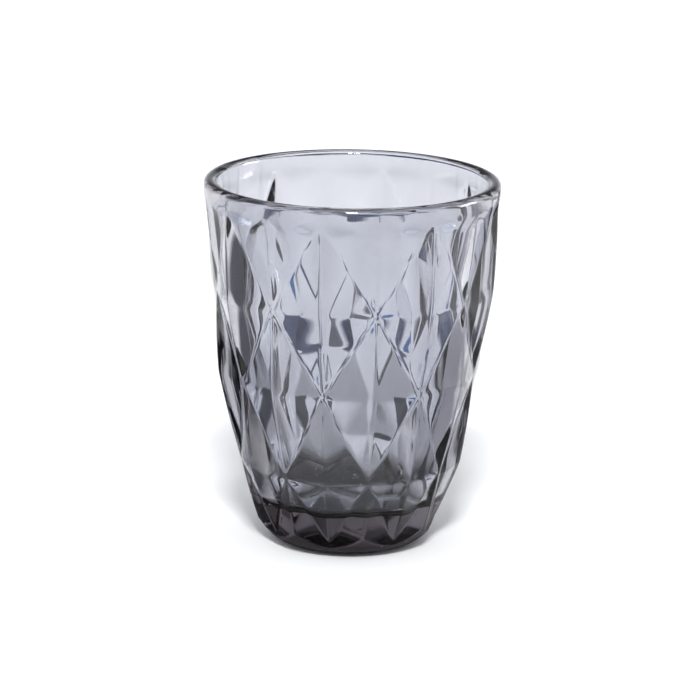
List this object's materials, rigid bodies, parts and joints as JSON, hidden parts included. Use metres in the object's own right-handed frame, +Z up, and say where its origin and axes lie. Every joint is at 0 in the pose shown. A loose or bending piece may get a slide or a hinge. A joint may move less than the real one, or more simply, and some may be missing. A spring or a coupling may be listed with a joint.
{
  "type": "whiskey tumbler",
  "caption": "Short pressed-glass drinking tumbler with a plain rounded lip, staggered rows of raised diamonds, a tapered side and a thick rounded base.",
  "frame": {"origin": "centre of the underside, on the plane the glass stands on", "axes": "+Z up along the glass's axis, towards the mouth; -Y through a corner of the top row of diamonds"},
  "size_m": [0.0796, 0.0796, 0.1],
  "materials": {
    "smoke_glass": "polished, clear, cool smoke grey"
  },
  "bodies": {
    "root": {"glass_body": "smoke_glass"}
  },
  "joints": []
}
